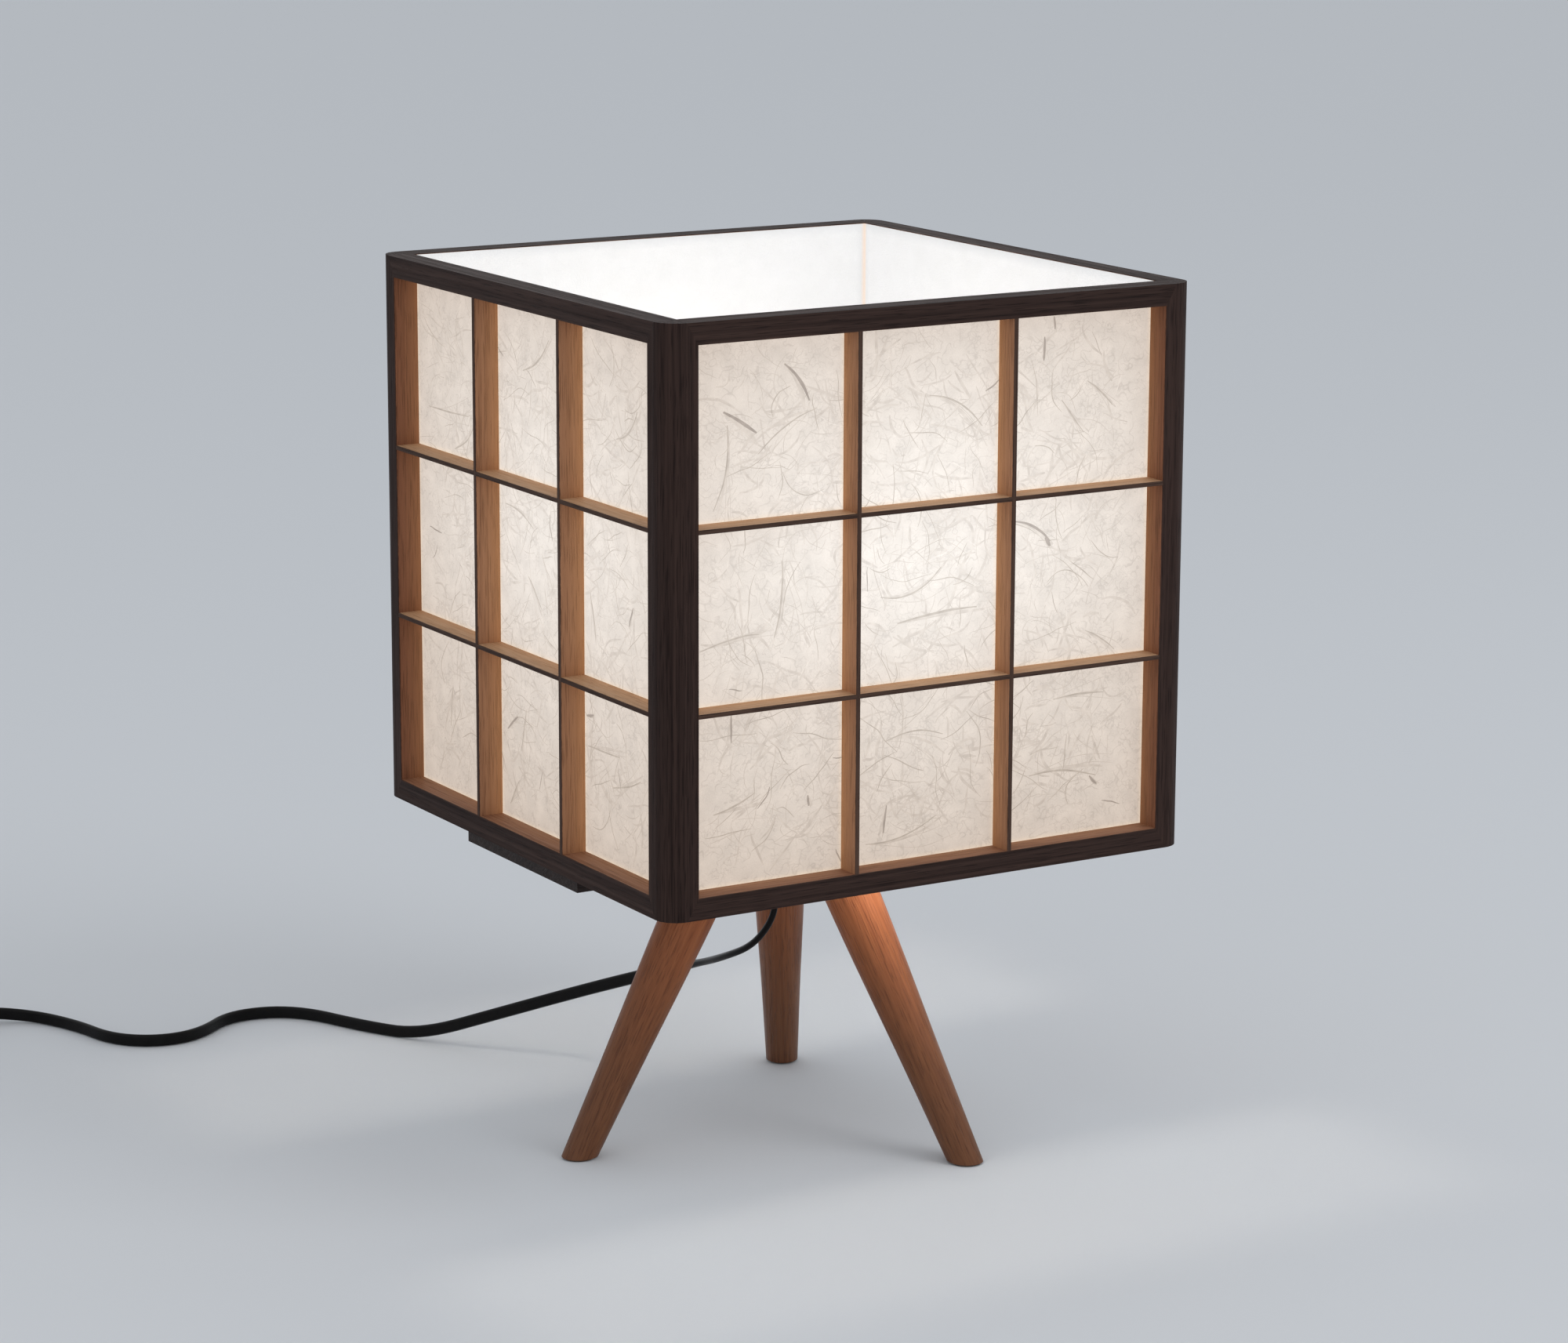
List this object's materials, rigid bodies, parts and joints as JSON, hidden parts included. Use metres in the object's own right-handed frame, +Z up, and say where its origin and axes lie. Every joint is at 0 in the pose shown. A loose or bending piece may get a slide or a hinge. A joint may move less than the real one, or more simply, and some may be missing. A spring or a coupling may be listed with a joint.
{
  "type": "andon lamp",
  "caption": "Andon lamp: square lattice shade lined with fibre paper, open above, on a plank with splayed turned legs, with a screw bulb, cord, inline switch and plug.",
  "frame": {"origin": "on the floor under the middle of the square shade", "axes": "+Z up, -Y the front lattice face, -X the face above the single side leg, from under which the cord runs off to the back left"},
  "size_m": [0.5616, 0.506, 0.422],
  "materials": {
    "frame_wood": "dark brown oiled wood, open grain",
    "lattice_wood": "dark-faced thin strips, tan on their sides",
    "plank_wood": "reddish brown wood",
    "leg_wood": "turned light reddish hardwood, satin",
    "washi_paper": "handmade fibre paper, translucent",
    "screw_steel": "zinc plated",
    "plated_steel": "nickel plated",
    "pad_felt": "brown felt",
    "black_nylon": "moulded nylon",
    "cord_vinyl": "glossy black vinyl",
    "black_phenolic": "moulded phenolic",
    "black_plastic": "moulded, semi-gloss",
    "porcelain": "glazed porcelain",
    "brass": "pressed sheet",
    "cap_metal": "pressed screw cap",
    "frosted_glass": "white frosted"
  },
  "bodies": {
    "lamp": {"top_rail_front": "frame_wood", "bottom_rail_front": "frame_wood", "top_rail_right": "frame_wood", "bottom_rail_right": "frame_wood", "top_rail_back": "frame_wood", "bottom_rail_back": "frame_wood", "top_rail_left": "frame_wood", "bottom_rail_left": "frame_wood", "corner_post_front_left": "frame_wood", "corner_post_front_right": "frame_wood", "corner_post_back_right": "frame_wood", "corner_post_back_left": "frame_wood", "lattice_upright_front_1": "lattice_wood", "lattice_upright_front_2": "lattice_wood", "lattice_level_front_lower": "lattice_wood", "lattice_level_front_upper": "lattice_wood", "paper_front": "washi_paper", "lattice_upright_right_1": "lattice_wood", "lattice_upright_right_2": "lattice_wood", "lattice_level_right_lower": "lattice_wood", "lattice_level_right_upper": "lattice_wood", "paper_right": "washi_paper", "lattice_upright_back_1": "lattice_wood", "lattice_upright_back_2": "lattice_wood", "lattice_level_back_lower": "lattice_wood", "lattice_level_back_upper": "lattice_wood", "paper_back": "washi_paper", "lattice_upright_left_1": "lattice_wood", "lattice_upright_left_2": "lattice_wood", "lattice_level_left_lower": "lattice_wood", "lattice_level_left_upper": "lattice_wood", "paper_left": "washi_paper", "plank": "plank_wood", "leg_left": "leg_wood", "leg_front": "leg_wood", "leg_back": "leg_wood", "plank_screws": "screw_steel", "leg_screws": "screw_steel", "switch_screws": "screw_steel", "foot_pads": "pad_felt", "stem_tube": "plated_steel", "stem_nuts": "plated_steel", "cord_grip": "black_nylon", "flex_in_stem": "cord_vinyl", "cord_lead": "cord_vinyl", "cord_coil": "cord_vinyl", "holder_base": "black_phenolic", "holder_shell": "black_phenolic", "holder_insert": "porcelain", "holder_screw_shell": "brass", "holder_contact": "brass", "plug_blades": "plated_steel", "switch_lower": "black_plastic", "switch_upper": "black_plastic", "plug_body": "cord_vinyl"},
    "bulb": {"bulb_cap": "cap_metal", "bulb_contact": "brass", "bulb_globe": "frosted_glass", "bulb_insulator": "black_phenolic"},
    "rocker": {"switch_rocker": "black_plastic"}
  },
  "joints": [
    {"name": "bulb_lift", "type": "slide", "parent": "lamp", "child": "bulb", "axis": [0, 0, 1], "range_m": [0, 0.2]},
    {"name": "rocker_tilt", "type": "hinge", "parent": "lamp", "child": "rocker", "pos_m": [-0.305, 0.356, 0.0127], "axis": [0, 1, 0], "range_deg": [-18, 0]}
  ]
}
